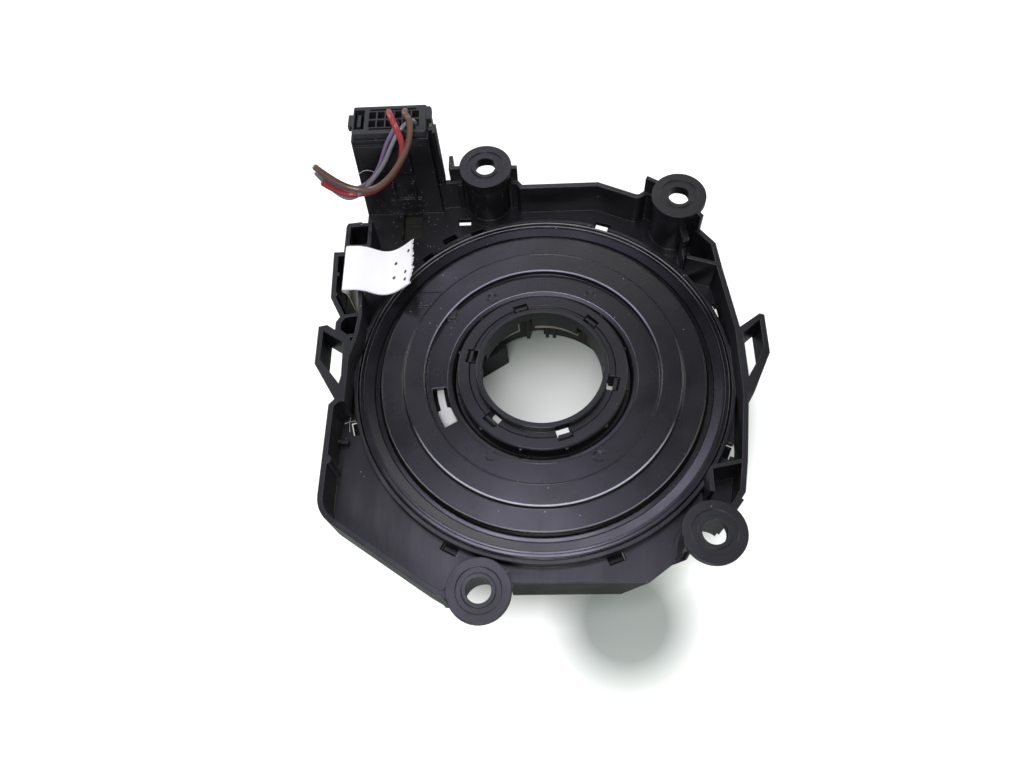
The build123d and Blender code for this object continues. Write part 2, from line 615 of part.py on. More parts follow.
# Pins of the wheel-side socket
with BuildPart() as wheel_socket_pins:
    with BuildSketch(socket_plane.offset(2.5)):
        with Locations((-6.65, 20.4)):
            with GridLocations(2.0, 1.0, 4, 1):
                Rectangle(0.6, 0.6)
    extrude(amount=8.7)
wheel_socket_pins.part.label = "wheel_socket_pins"
export_step(wheel_socket_pins.part, "parts/wheel_socket_pins.step")

# Terminal carrier under the shelf, two cream strips on one band
with BuildPart() as rotor_terminal_carrier:
    carrier_face = hub_bottom - shelf_t - slip
    with BuildSketch(Plane.XY.offset(carrier_face - 5.0)):
        for start, span in ((57.5, 38.5), (109.5, 25.0)):
            with BuildLine():
                band_out = CenterArc((0, 0), 22.4, start, span)
                band_in = CenterArc((0, 0), 20.6, start, span)
                Line(band_out @ 0, band_in @ 0)
                Line(band_out @ 1, band_in @ 1)
            make_face()
    extrude(amount=5.0)
    with BuildSketch(Plane.XY.offset(carrier_face - 1.0)):
        with BuildLine():
            band_out = CenterArc((0, 0), 22.9, 57.5, 77.0)
            band_in = CenterArc((0, 0), 21.6, 57.5, 77.0)
            Line(band_out @ 0, band_in @ 0)
            Line(band_out @ 1, band_in @ 1)
        make_face()
    extrude(amount=1.0)
rotor_terminal_carrier.part.label = "rotor_terminal_carrier"
export_step(rotor_terminal_carrier.part, "parts/rotor_terminal_carrier.step")

# Cover that closes the rotor on the wheel side
with BuildPart() as wheel_side_cover:
    with BuildSketch(Plane.XZ):
        with BuildLine():
            wheel_face = bearing_bottom - slip
            Polyline(
                (drum_in_r + drum_wall + slip, wheel_face), (wheel_disc_r, wheel_face),
                (wheel_disc_r, wheel_face - 0.7), (wheel_disc_r - 0.6, wheel_face - wheel_disc_t),
                (drum_in_r + drum_wall + slip, wheel_face - wheel_disc_t), close=True)
        make_face()
    revolve(axis=Axis.Z)
    with BuildSketch(Plane.XY.offset(wheel_face - wheel_disc_t)):
        with PolarLocations(40.0, 6):
            Circle(1.6)
    extrude(amount=wheel_disc_t, mode=Mode.SUBTRACT)
wheel_side_cover.part.label = "wheel_side_cover"
export_step(wheel_side_cover.part, "parts/wheel_side_cover.step")

# Wound flat cable on the stator side, its turns as one solid with a step at the inner ones
with BuildPart() as outer_coil:
    with BuildSketch(Plane.XZ):
        with BuildLine():
            Polyline(
                (outer_coil_r, coil_bottom), (outer_coil_out, coil_bottom), (outer_coil_out, coil_top),
                (outer_coil_r + 2 * coil_pitch, coil_top), (outer_coil_r + 2 * coil_pitch, coil_top - coil_step),
                (outer_coil_r, coil_top - coil_step), close=True)
        make_face()
    revolve(axis=Axis.Z)
outer_coil.part.label = "outer_coil"
export_step(outer_coil.part, "parts/outer_coil.step")

# Wound flat cable on the rotor side
with BuildPart() as inner_coil:
    with BuildSketch(Plane.XZ):
        with BuildLine():
            Polyline(
                (inner_coil_in, coil_bottom), (inner_coil_r, coil_bottom), (inner_coil_r, coil_top - coil_step),
                (inner_coil_r - 2 * coil_pitch, coil_top - coil_step), (inner_coil_r - 2 * coil_pitch, coil_top),
                (inner_coil_in, coil_top), close=True)
        make_face()
    revolve(axis=Axis.Z)
inner_coil.part.label = "inner_coil"
export_step(inner_coil.part, "parts/inner_coil.step")

# Guide carrier: a ring above the coils, six arms with roller axles, and a pad that shows in the slot
with BuildPart() as guide_carrier:
    with BuildSketch(Plane.XY.offset(carrier_top - carrier_t)):
        Circle(sight_r + carrier_ring_w / 2)
        Circle(sight_r - carrier_ring_w / 2, mode=Mode.SUBTRACT)
        for i in range(roller_count):
            with Locations(Rot(0, 0, arm_angle + i * 360 / roller_count) * Pos(sight_r, 0)):
                Rectangle(roller_ring_r - sight_r + arm_w / 2 + 0.6, arm_w, align=(Align.MIN, Align.CENTER))
        with Locations(Rot(0, 0, arm_angle) * Pos(sight_r, 0)):
            RectangleRounded(sight_w, 7.2, 0.8)
    extrude(amount=carrier_t)
    with BuildSketch(Plane.XY.offset(coil_bottom + 0.4)):
        with PolarLocations(roller_ring_r, roller_count, start_angle=arm_angle):
            Circle(axle_r)
    extrude(amount=carrier_top - carrier_t - coil_bottom - 0.4)
guide_carrier.part.label = "guide_carrier"
export_step(guide_carrier.part, "parts/guide_carrier.step")

# Rollers, the first one at the arm in the sight slot
for number in range(1, roller_count + 1):
    with BuildPart() as roller:
        with BuildSketch(Plane.XY.offset(coil_bottom + 0.2)):
            with Locations(Rot(0, 0, arm_angle + (number - 1) * 360 / roller_count) * Pos(roller_ring_r, 0)):
                Circle(roller_r)
                Circle(axle_r + axle_gap, mode=Mode.SUBTRACT)
        extrude(amount=roller_len)
    roller.part.label = f"roller_{number}"
    export_step(roller.part, f"parts/roller_{number}.step")

# Header pins in the tower's floor
with BuildPart() as header_pins:
    with BuildSketch(Plane.XY.offset(pin_bottom)):
        with Locations((plug_cx, plug_cy)):
            with GridLocations(pitch_x, pitch_y, cell_columns, cell_rows):
                Rectangle(pin_w, pin_w)
    extrude(amount=pin_top - pin_bottom)
    chamfer(header_pins.faces().sort_by(Axis.Z)[-cell_columns * cell_rows:].edges(), 0.15)
header_pins.part.label = "header_pins"
export_step(header_pins.part, "parts/header_pins.step")

# Terminal carrier below the plate, seen through the window in front of the tower
with BuildPart() as stator_terminal_carrier:
    with BuildSketch(Plane.XY.offset(pin_bottom - slip - 1.1)):
        with Locations((plug_cx, terminal_box_y0 + tower_wall + 0.6)):
            Rectangle(8.8, plug_cy - terminal_box_y0 - tower_wall - 0.6, align=(Align.CENTER, Align.MIN))
        with Locations((plug_cx, plug_cy)):
            Rectangle(cell_columns * pitch_x + 1.7, cell_rows * pitch_y + 2.6)
    extrude(amount=1.1)
    with BuildSketch(Plane.XY.offset(pin_bottom - slip - 1.1)):
        with Locations((plug_cx, 53.6), (plug_cx, 58.8)):
            Rectangle(5.4, 0.8)
    extrude(amount=1.4)
stator_terminal_carrier.part.label = "stator_terminal_carrier"
export_step(stator_terminal_carrier.part, "parts/stator_terminal_carrier.step")

# Plug: a twelve-way block with a rim that rests on the tower
with BuildPart() as plug_housing:
    with BuildSketch(Plane.XY.offset(plug_bottom)):
        with Locations(((plug_x0 + plug_x1) / 2, (plug_y0 + plug_y1) / 2)):
            Rectangle(plug_x1 - plug_x0, plug_y1 - plug_y0)
    extrude(amount=tower_top + slip - plug_bottom)
    with BuildSketch(Plane.XY.offset(tower_top + slip)):
        with Locations(((plug_x0 + plug_x1) / 2, (plug_y0 + plug_y1) / 2)):
            RectangleRounded(plug_x1 - plug_x0 + 2 * plug_rim_out, plug_y1 - plug_y0 + 2 * plug_rim_out, 0.6)
    extrude(amount=plug_rim_h)
    chamfer(plug_housing.faces().sort_by(Axis.Z)[-1].edges(), 0.25)
    with BuildSketch(Plane.XY.offset(tower_top + slip)):
        with Locations((plug_x0 - plug_rim_out - 0.6, plug_cy + 0.2), (plug_x1 + plug_rim_out + 0.6, 70.2)):
            Rectangle(1.6, 4.4)
    extrude(amount=plug_rim_h - 0.4)
    # Cells, open at the top, with a pin hole below each
    with BuildSketch(Plane.XY.offset(16.4)):
        with Locations((plug_cx, plug_cy)):
            with GridLocations(pitch_x, pitch_y, cell_columns, cell_rows):
                Rectangle(cell_x, cell_y)
    extrude(amount=plug_top - 16.0, mode=Mode.SUBTRACT)
    with BuildSketch(Plane.XY.offset(plug_bottom)):
        with Locations((plug_cx, plug_cy)):
            with GridLocations(pitch_x, pitch_y, cell_columns, cell_rows):
                Rectangle(pin_w + 0.3, pin_w + 0.3)
    extrude(amount=4.0, mode=Mode.SUBTRACT)
    # Slots of the terminal lock, and the latch recess on the left
    with BuildSketch(Plane.XY.offset(plug_bottom)):
        with Locations((plug_cx - 0.3, plug_y0 + 0.6), (plug_cx - 0.3, plug_y1 - 0.6)):
            Rectangle(13.8, 0.7)
    extrude(amount=plug_top, mode=Mode.SUBTRACT)
    with BuildSketch(Plane.XY.offset(24.0)):
        with Locations((plug_x0 + 1.0, plug_cy + 0.1)):
            Rectangle(3.0, 7.4)
    extrude(amount=plug_top, mode=Mode.SUBTRACT)
    with BuildSketch(Plane.XY.offset(24.0 - slip)):
        with Locations((plug_x0 + 0.9, plug_cy + 0.1)):
            Rectangle(1.0, 4.4)
    extrude(amount=plug_top - 0.5 - 24.0 + slip)
plug_housing.part.label = "plug_housing"
export_step(plug_housing.part, "parts/plug_housing.step")

# Terminal lock: a plate under the plug with two blades that stand in the plug's slots
with BuildPart() as terminal_lock:
    with BuildSketch(Plane.XY.offset(tower_floor_z + tower_floor_t + slip)):
        with Locations((plug_cx - 0.3, plug_cy)):
            Rectangle(16.4, plug_y1 - plug_y0 - 0.4)
        with Locations((plug_cx, plug_cy)):
            with GridLocations(pitch_x, pitch_y, cell_columns, cell_rows):
                Rectangle(pin_w + 0.3, pin_w + 0.3, mode=Mode.SUBTRACT)
    extrude(amount=plug_bottom - tower_floor_z - tower_floor_t - 2 * slip)
    with BuildSketch(Plane.XY.offset(plug_bottom - 2 * slip)):
        with Locations((plug_cx - 0.3, plug_y0 + 0.6), (plug_cx - 0.3, plug_y1 - 0.6)):
            Rectangle(13.5, 0.45)
    extrude(amount=plug_top - 1.2 - plug_bottom)
terminal_lock.part.label = "terminal_lock"
export_step(terminal_lock.part, "parts/terminal_lock.step")


def cell_centre(column, row):
    """Centre of a plug cell, counted from the left and from the near row."""
    return (plug_cx + (column - (cell_columns - 1) / 2) * pitch_x,
            plug_cy + (row - (cell_rows - 1) / 2) * pitch_y)


# Crimped terminals and wires, one pair for each used cell
for colour, (column, row, wire_d, route) in wire_routes.items():
    cell = cell_centre(column, row)
    with BuildPart() as terminal:
        with BuildSketch(Plane.XY.offset(terminal_bottom)):
            with Locations(cell):
                Rectangle(terminal_x, terminal_y)
                Rectangle(terminal_bore, terminal_bore, mode=Mode.SUBTRACT)
        extrude(amount=8.0)
        with BuildSketch(Plane.XY.offset(terminal_bottom + 8.0 - slip)):
            with Locations(cell):
                Rectangle(terminal_x, terminal_y)
        extrude(amount=terminal_top - terminal_bottom - 8.0 + slip)
    terminal.part.label = f"terminal_{colour}"
    export_step(terminal.part, f"parts/terminal_{colour}.step")

    points = [Vector(*cell, terminal_top), Vector(*cell, wire_bend_z)] + [Vector(*point) for point in route]
    radii = bend_radii(points)
    with BuildPart() as wire:
        with BuildLine() as path:
            FilletPolyline(*points, radius=radii)
        with BuildSketch(Plane(origin=points[0], z_dir=path.line % 0)) as section:
            RegularPolygon(wire_d / 2, 8)
        sweep(path=path.line)
    length = path.wires()[0].length
    print(colour, "radii", [round(radius, 1) for radius in radii], "length", round(length, 1),
          "volume ratio", round(wire.part.volume / (section.sketch.area * length), 4))
    wire.part.label = f"wire_{colour}"
    export_step(wire.part, f"parts/wire_{colour}.step")

# Torn end of the flat cable: up through the slot, over the wall's edge and down to the plate
with BuildPart() as ribbon_tail:
    with BuildSketch(Plane.XZ.offset(-tail_y0)):
        with BuildLine():
            FilletPolyline(*tail_profile, radius=bend_radii([Vector(*point) for point in tail_profile]))
        trace(line_width=tail_t)
    extrude(amount=-(tail_y1 - tail_y0))
ribbon_tail.part.label = "ribbon_tail"
export_step(ribbon_tail.part, "parts/ribbon_tail.step")
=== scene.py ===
"""Dresses the steering clock spring: materials, wires, torn flat cable, floor, lights and camera."""
import json
import math
import random

import bmesh
import bpy
from mathutils import Matrix, Vector


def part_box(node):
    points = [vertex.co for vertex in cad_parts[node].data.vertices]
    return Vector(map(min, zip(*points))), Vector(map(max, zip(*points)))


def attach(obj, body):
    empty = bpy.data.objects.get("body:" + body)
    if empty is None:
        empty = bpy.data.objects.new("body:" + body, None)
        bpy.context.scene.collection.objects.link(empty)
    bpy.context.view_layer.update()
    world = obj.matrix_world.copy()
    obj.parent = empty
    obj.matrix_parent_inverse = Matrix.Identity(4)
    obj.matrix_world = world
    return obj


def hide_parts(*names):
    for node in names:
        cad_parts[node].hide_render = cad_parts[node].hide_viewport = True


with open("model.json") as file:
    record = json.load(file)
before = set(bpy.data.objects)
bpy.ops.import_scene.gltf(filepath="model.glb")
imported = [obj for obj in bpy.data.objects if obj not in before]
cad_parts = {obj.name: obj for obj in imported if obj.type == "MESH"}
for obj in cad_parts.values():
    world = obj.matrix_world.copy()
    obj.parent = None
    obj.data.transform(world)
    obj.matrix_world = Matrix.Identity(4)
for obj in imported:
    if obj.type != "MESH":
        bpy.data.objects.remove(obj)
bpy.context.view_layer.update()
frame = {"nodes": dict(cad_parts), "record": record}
nodes = frame["nodes"]
scene = bpy.context.scene
MM = 0.001

# Looks shared by several materials, and the pitches of the flat cable in millimetres
dust_colour = (0.42, 0.41, 0.39)
haze_colour = (0.060, 0.059, 0.063)
coil_pitch, conductor_pitch = 0.31, 2.1


def shader(name):
    """A new material with its node tree, its shader and its object coordinates."""
    material = bpy.data.materials.new(name)
    material.use_nodes = True
    tree = material.node_tree
    bsdf = tree.nodes["Principled BSDF"]
    place = tree.nodes.new("ShaderNodeTexCoord").outputs["Object"]
    return material, tree, bsdf, place


def noise(tree, place, scale, detail=3.0, rough=0.55, stretch=None, turn=0.0):
    """Noise over the object's coordinates, with features of about 1/scale metres."""
    if stretch:
        mapping = tree.nodes.new("ShaderNodeMapping")
        mapping.inputs["Scale"].default_value = stretch
        mapping.inputs["Rotation"].default_value = (0, 0, turn)
        tree.links.new(place, mapping.inputs["Vector"])
        place = mapping.outputs["Vector"]
    node = tree.nodes.new("ShaderNodeTexNoise")
    node.inputs["Scale"].default_value = scale
    node.inputs["Detail"].default_value = detail
    node.inputs["Roughness"].default_value = rough
    tree.links.new(place, node.inputs["Vector"])
    return node.outputs["Fac"]


def ramp(tree, value, low, high, out_low=0.0, out_high=1.0):
    """Maps low..high of a value to out_low..out_high, held at the ends."""
    node = tree.nodes.new("ShaderNodeMapRange")
    node.inputs["From Min"].default_value = low
    node.inputs["From Max"].default_value = high
    node.inputs["To Min"].default_value = out_low
    node.inputs["To Max"].default_value = out_high
    tree.links.new(value, node.inputs["Value"])
    return node.outputs["Result"]


def math_node(tree, operation, a, b):
    """One math operation on two values, each a socket or a number."""
    node = tree.nodes.new("ShaderNodeMath")
    node.operation = operation
    for socket, value in zip(node.inputs, (a, b)):
        if isinstance(value, (int, float)):
            socket.default_value = value
        else:
            tree.links.new(value, socket)
    return node.outputs["Value"]


def mix(tree, factor, low, high):
    """Mixes two colours, each a socket or a tuple."""
    node = tree.nodes.new("ShaderNodeMix")
    node.data_type = "RGBA"
    tree.links.new(factor, node.inputs["Factor"])
    for socket, value in ((node.inputs[6], low), (node.inputs[7], high)):
        if isinstance(value, tuple):
            socket.default_value = (*value, 1.0)
        else:
            tree.links.new(value, socket)
    return node.outputs[2]


def near(tree, place, centre, radius):
    """1 at a point, falling to 0 at the radius, both in millimetres."""
    node = tree.nodes.new("ShaderNodeVectorMath")
    node.operation = "DISTANCE"
    tree.links.new(place, node.inputs[0])
    node.inputs[1].default_value = [value * MM for value in centre]
    return ramp(tree, node.outputs["Value"], 0.0, radius * MM, 1.0, 0.0)


def round_edges(tree, bsdf, height, strength, distance, radius=0.35):
    """Softens the sharp edges in shading and adds a fine bump."""
    bevel = tree.nodes.new("ShaderNodeBevel")
    bevel.samples = 6
    bevel.inputs["Radius"].default_value = radius * MM
    bump = tree.nodes.new("ShaderNodeBump")
    bump.inputs["Strength"].default_value = strength
    bump.inputs["Distance"].default_value = distance
    tree.links.new(height, bump.inputs["Height"])
    tree.links.new(bevel.outputs["Normal"], bump.inputs["Normal"])
    tree.links.new(bump.outputs["Normal"], bsdf.inputs["Normal"])


def dust(tree, place, amount):
    """Small scattered specks, more where amount is higher."""
    cells = tree.nodes.new("ShaderNodeTexVoronoi")
    cells.inputs["Scale"].default_value = 950.0
    tree.links.new(place, cells.inputs["Vector"])
    speck = ramp(tree, cells.outputs["Distance"], 0.08, 0.17, 1.0, 0.0)
    separate = tree.nodes.new("ShaderNodeSeparateColor")
    tree.links.new(cells.outputs["Color"], separate.inputs["Color"])
    chosen = math_node(tree, "LESS_THAN", separate.outputs["Red"], amount)
    return math_node(tree, "MULTIPLY", speck, chosen)


def black_plastic(name, colour, rough, scuff=0.25, grain=0.25, dusty=0.012, spots=(), hazes=(), edge=0.35,
                  matt_below=-30.0, shine_near=0.5, shine_far=0.5):
    """Satin moulded plastic with a faint grain, rubbed streaks, haze and dust, matt below a level, with its
    specular level set apart for the near and far sides as painted shade of its reflections.
    """
    material, tree, bsdf, place = shader(name)
    cloud = noise(tree, place, 60.0, 4.0)
    streak = noise(tree, place, 90.0, 5.0, 0.7, (1.0, 0.12, 0.5), 0.9)
    rubbed = math_node(tree, "MULTIPLY", ramp(tree, streak, 0.55, 0.78), ramp(tree, cloud, 0.45, 0.7))
    rubbed = math_node(tree, "MULTIPLY", rubbed, scuff)
    lighter = tuple(min(1.0, value * 3.2 + 0.012) for value in colour)
    base = mix(tree, rubbed, colour, lighter)
    for centre, radius, more in hazes:
        patch = math_node(tree, "MULTIPLY", near(tree, place, centre, radius), ramp(tree, streak, 0.40, 0.70))
        base = mix(tree, math_node(tree, "MULTIPLY", patch, more), base, haze_colour)
    amount = dusty
    for centre, radius, more in spots:
        patch = math_node(tree, "MULTIPLY", near(tree, place, centre, radius), more)
        amount = math_node(tree, "ADD", patch, amount)
    specks = dust(tree, place, amount)
    base = mix(tree, specks, base, dust_colour)
    tree.links.new(base, bsdf.inputs["Base Color"])
    smooth = ramp(tree, cloud, 0.3, 0.7, rough - 0.06, rough + 0.06)
    rough_all = math_node(tree, "ADD", smooth, math_node(tree, "MULTIPLY", rubbed, 0.25))
    tree.links.new(rough_all, bsdf.inputs["Roughness"])
    separate = tree.nodes.new("ShaderNodeSeparateXYZ")
    tree.links.new(place, separate.inputs["Vector"])
    shine = ramp(tree, separate.outputs["Z"], (matt_below - 0.4) * MM, matt_below * MM, 0.2, 1.0)
    # Specular level from the near to the far side: painted shade of the reflections where it is lower
    along = ramp(tree, separate.outputs["Y"], -30 * MM, 20 * MM, shine_near, shine_far)
    shine = math_node(tree, "MULTIPLY", shine, along)
    tree.links.new(shine, bsdf.inputs["Specular IOR Level"])
    fine = noise(tree, place, 2600.0, 2.0)
    round_edges(tree, bsdf, fine, grain, 0.00003, edge)
    return material


def painted_highlight_edge(name, colour, dark_y, bright_y):
    """Smooth edge of a round step whose base colour carries a painted highlight, brighter towards one side of
    the part.
    """
    material, tree, bsdf, place = shader(name)
    separate = tree.nodes.new("ShaderNodeSeparateXYZ")
    tree.links.new(place, separate.inputs["Vector"])
    # The base colour runs from near black to the given colour along Y: a painted highlight.
    if dark_y < bright_y:
        shine = ramp(tree, separate.outputs["Y"], dark_y * MM, bright_y * MM)
    else:
        shine = ramp(tree, separate.outputs["Y"], bright_y * MM, dark_y * MM, 1.0, 0.0)
    tree.links.new(mix(tree, shine, (0.010, 0.010, 0.012), colour), bsdf.inputs["Base Color"])
    bsdf.inputs["Roughness"].default_value = 0.25
    return material


def soft_plastic(name, colour, rough=0.45, tint=0.08):
    """Plain pale plastic with slight unevenness."""
    material, tree, bsdf, place = shader(name)
    cloud = noise(tree, place, 160.0, 3.0)
    darker = tuple(value * (1.0 - tint) for value in colour)
    tree.links.new(mix(tree, ramp(tree, cloud, 0.35, 0.65), darker, colour), bsdf.inputs["Base Color"])
    bsdf.inputs["Roughness"].default_value = rough
    round_edges(tree, bsdf, noise(tree, place, 1800.0), 0.15, 0.00002, 0.12)
    return material


def cable_edges(name):
    """Edges of the wound flat cable: copper brown film darkened to near black as painted shade of the gap it
    is seen through, with dark gaps between the turns.
    """
    material, tree, bsdf, place = shader(name)
    separate = tree.nodes.new("ShaderNodeSeparateXYZ")
    tree.links.new(place, separate.inputs["Vector"])
    square = math_node(tree, "ADD", math_node(tree, "MULTIPLY", separate.outputs["X"], separate.outputs["X"]),
                       math_node(tree, "MULTIPLY", separate.outputs["Y"], separate.outputs["Y"]))
    radius = math_node(tree, "SQRT", square, 0.0)
    turns = math_node(tree, "SINE", math_node(tree, "MULTIPLY", radius, math.tau / (coil_pitch * MM)), 0.0)
    # Both colours are near black: the film's brown is darkened as painted shade of the narrow gap
    base = mix(tree, ramp(tree, turns, -0.4, 0.6), (0.004, 0.0035, 0.003), (0.016, 0.010, 0.007))
    tree.links.new(base, bsdf.inputs["Base Color"])
    bsdf.inputs["Roughness"].default_value = 0.35
    bump = tree.nodes.new("ShaderNodeBump")
    bump.inputs["Strength"].default_value = 0.4
    bump.inputs["Distance"].default_value = 0.0001
    tree.links.new(turns, bump.inputs["Height"])
    tree.links.new(bump.outputs["Normal"], bsdf.inputs["Normal"])
    return material


def insulation(name, colour, rough=0.38):
    """Wire insulation: smooth, slightly waxy, with faint marks along it."""
    material, tree, bsdf, place = shader(name)
    cloud = noise(tree, place, 240.0, 4.0, 0.6)
    base = mix(tree, ramp(tree, cloud, 0.3, 0.75), tuple(value * 0.82 for value in colour), colour)
    tree.links.new(base, bsdf.inputs["Base Color"])
    tree.links.new(ramp(tree, cloud, 0.3, 0.7, rough - 0.08, rough + 0.1), bsdf.inputs["Roughness"])
    bsdf.inputs["Coat Weight"].default_value = 0.5
    bump = tree.nodes.new("ShaderNodeBump")
    bump.inputs["Strength"].default_value = 0.25
    bump.inputs["Distance"].default_value = 0.00003
    tree.links.new(noise(tree, place, 1400.0), bump.inputs["Height"])
    tree.links.new(bump.outputs["Normal"], bsdf.inputs["Normal"])
    return material


def metal(name, colour, rough):
    """Tinned or bare metal with fine rub marks."""
    material, tree, bsdf, place = shader(name)
    bsdf.inputs["Metallic"].default_value = 1.0
    cloud = noise(tree, place, 900.0, 3.0)
    darker = tuple(value * 0.8 for value in colour)
    tree.links.new(mix(tree, cloud, darker, colour), bsdf.inputs["Base Color"])
    tree.links.new(ramp(tree, cloud, 0.3, 0.7, rough - 0.08, rough + 0.1), bsdf.inputs["Roughness"])
    return material


film_holes = [(-40.1, 38.3, 10.4), (-44.4, 35.8, 7.3), (-40.8, 31.2, 9.8), (-44.7, 30.8, 7.1),
              (-40.8, 28.6, 9.7)]


def flex_film(name):
    """White film of the flat cable with its punched holes; its downward faces are a darker beige, partly
    where its conductors show and partly painted shade of the underside.
    """
    material, tree, bsdf, place = shader(name)
    separate = tree.nodes.new("ShaderNodeSeparateXYZ")
    tree.links.new(place, separate.inputs["Vector"])
    angle = math_node(tree, "MULTIPLY", separate.outputs["Y"], math.tau / (conductor_pitch * MM))
    lanes = math_node(tree, "SINE", angle, 0.0)
    lane = ramp(tree, lanes, -0.2, 0.5)
    geometry = tree.nodes.new("ShaderNodeNewGeometry")
    normal = tree.nodes.new("ShaderNodeSeparateXYZ")
    tree.links.new(geometry.outputs["Normal"], normal.inputs["Vector"])
    top = mix(tree, noise(tree, place, 300.0), (0.92, 0.92, 0.90), (0.96, 0.96, 0.94))
    for centre in film_holes:
        top = mix(tree, ramp(tree, near(tree, place, centre, 1.0), 0.36, 0.50), top, (0.006, 0.006, 0.006))
    # Downward faces: the conductors' beige with lanes, darkened as painted shade of the underside
    underside_and_shade = mix(tree, lane, (0.52, 0.44, 0.32), (0.62, 0.55, 0.43))
    upward = ramp(tree, normal.outputs["Z"], -0.05, 0.1)
    tree.links.new(mix(tree, upward, underside_and_shade, top), bsdf.inputs["Base Color"])
    bsdf.inputs["Roughness"].default_value = 0.42
    bump = tree.nodes.new("ShaderNodeBump")
    bump.inputs["Strength"].default_value = 0.2
    bump.inputs["Distance"].default_value = 0.00005
    tree.links.new(lane, bump.inputs["Height"])
    tree.links.new(bump.outputs["Normal"], bsdf.inputs["Normal"])
    return material


dusty_tower = (((-44, 60, 12), 36, 0.22), ((-40, 50, -3), 26, 0.30), ((-56, -14, 2), 26, 0.14),
               ((-42, 61, 4), 9, 0.9))
hazy_plate = (((-46, -46, -3), 34, 0.8), ((-20, -62, -3), 26, 0.6), ((20, -60, -3), 40, 0.5))
housing_black = black_plastic("housing_black", (0.0075, 0.0075, 0.009), 0.34, 0.5, 0.3, 0.012, dusty_tower,
                              hazy_plate, matt_below=-4.6)
ring_black = black_plastic("ring_black", (0.0065, 0.0065, 0.0085), 0.22, 0.25, 0.12, 0.01, edge=0.5,
                           matt_below=-2.4, shine_near=0.85, shine_far=0.14)
rotor_black = black_plastic("rotor_black", (0.0075, 0.0075, 0.009), 0.27, 0.30, 0.15, 0.012,
                            (((-28, 25, 3), 26, 0.10),), edge=0.6)
hub_black = black_plastic("hub_black", (0.006, 0.0062, 0.0075), 0.32, 0.30, 0.15, 0.012, edge=0.4)
drum_black = black_plastic("drum_black", (0.010, 0.0105, 0.0105), 0.45, 0.30, 0.3, 0.010)
plug_grey = black_plastic("plug_grey", (0.022, 0.023, 0.025), 0.48, 0.30, 0.4, 0.008)
olive = soft_plastic("olive_plastic", (0.020, 0.021, 0.015), 0.5, 0.2)
cream = soft_plastic("cream_plastic", (0.55, 0.50, 0.38), 0.5, 0.2)
white = soft_plastic("white_plastic", (0.74, 0.74, 0.72), 0.45, 0.1)
cable = cable_edges("flat_cable")
film = flex_film("white_cable")
tin = metal("tinned_metal", (0.62, 0.61, 0.58), 0.35)
copper = metal("copper_strands", (0.72, 0.36, 0.20), 0.35)
wire_colours = {
    "brown": insulation("wire_brown", (0.125, 0.060, 0.036)),
    "red": insulation("wire_red", (0.34, 0.022, 0.027)),
    "violet": insulation("wire_violet", (0.16, 0.105, 0.20)),
    "grey": insulation("wire_grey", (0.21, 0.21, 0.24)),
}

by_slot = {
    "housing_black": housing_black, "ring_black": ring_black, "rotor_black": rotor_black,
    "hub_black": hub_black, "drum_black": drum_black, "cream_plastic": cream, "white_plastic": white,
    "olive_plastic": olive, "plug_grey": plug_grey, "flat_cable": cable, "white_cable": film,
    "tinned_metal": tin,
}
slots = {entry["node"]: entry["material_slot"] for entry in frame["record"]["subparts"]}
for name, node in nodes.items():
    material = by_slot.get(slots[name])
    if material:
        node.data.materials.clear()
        node.data.materials.append(material)


def sector(centre, inner, outer, start, end, steps=28):
    """Outline of a ring's sector, in millimetres and degrees."""
    turns = [math.radians(start + (end - start) * step / steps) for step in range(steps + 1)]
    rim = [(centre[0] + outer * math.cos(turn), centre[1] + outer * math.sin(turn)) for turn in turns]
    bore = [(centre[0] + inner * math.cos(turn), centre[1] + inner * math.sin(turn))
            for turn in reversed(turns)]
    return rim + bore


def block(x0, x1, y0, y1):
    """Outline of a rectangle, in millimetres."""
    return [(x0, y0), (x1, y0), (x1, y1), (x0, y1)]


def radial_block(angle, inner, outer, width):
    """Outline of a rectangle that points away from the axis."""
    ahead = Vector((math.cos(math.radians(angle)), math.sin(math.radians(angle))))
    side = Vector((-ahead.y, ahead.x)) * width / 2
    return [tuple(point) for point in
            (ahead * inner - side, ahead * outer - side, ahead * outer + side, ahead * inner + side)]


def prisms(name, rows):
    """One object of upright prisms, each with its outline, lower level and upper level in millimetres."""
    shape = bmesh.new()
    for outline, low, high in rows:
        lower = [shape.verts.new((x * MM, y * MM, low * MM)) for x, y in outline]
        upper = [shape.verts.new((x * MM, y * MM, high * MM)) for x, y in outline]
        shape.faces.new(reversed(lower))
        shape.faces.new(upper)
        for a in range(len(outline)):
            b = (a + 1) % len(outline)
            shape.faces.new((lower[a], lower[b], upper[b], upper[a]))
    data = bpy.data.meshes.new(name)
    shape.to_mesh(data)
    shape.free()
    made = bpy.data.objects.new(name, data)
    scene.collection.objects.link(made)
    return made


def smooth_by_angle(data, limit=30):
    """Smooth faces with the edges over the limit kept sharp."""
    if "custom_normal" in data.attributes:
        data.attributes.remove(data.attributes["custom_normal"])
    for face in data.polygons:
        face.use_smooth = True
    data.set_sharp_from_angle(angle=math.radians(limit))


# Housing: the moulding with its bosses' dents trimmed to half stems and its far windows cut through the rim
bosses = [(-16.5, 65.4), (42.4, 51.7), (42.4, -51.7), (-16.5, -65.4)]
stem_arcs = [(-182, 2), (-224, -42), (48, 200), (40, 182)]
plate_low, plate_high, wall_high, flange_high = -4.8, -3.0, 9.3, 15.5
dent_arcs = [(-166, -14), (-214, -50), (58, 178), (80, 168)]
dent_in_r, dent_out_r = 7.15, 9.9
skin = 0.03
window_w, rim_r = 4.8, 54.7
# Angle, inner and outer radius of each far window
far_windows = [(69.5, rim_r, 59.4), (111.0, rim_r, 58.2), (129.5, rim_r, 58.2), (119.7, 57.6, 60.2)]
cuts = [(sector(centre, dent_in_r, dent_out_r, *arc), plate_high + skin, wall_high + 0.15)
        for centre, arc in zip(bosses, dent_arcs)]
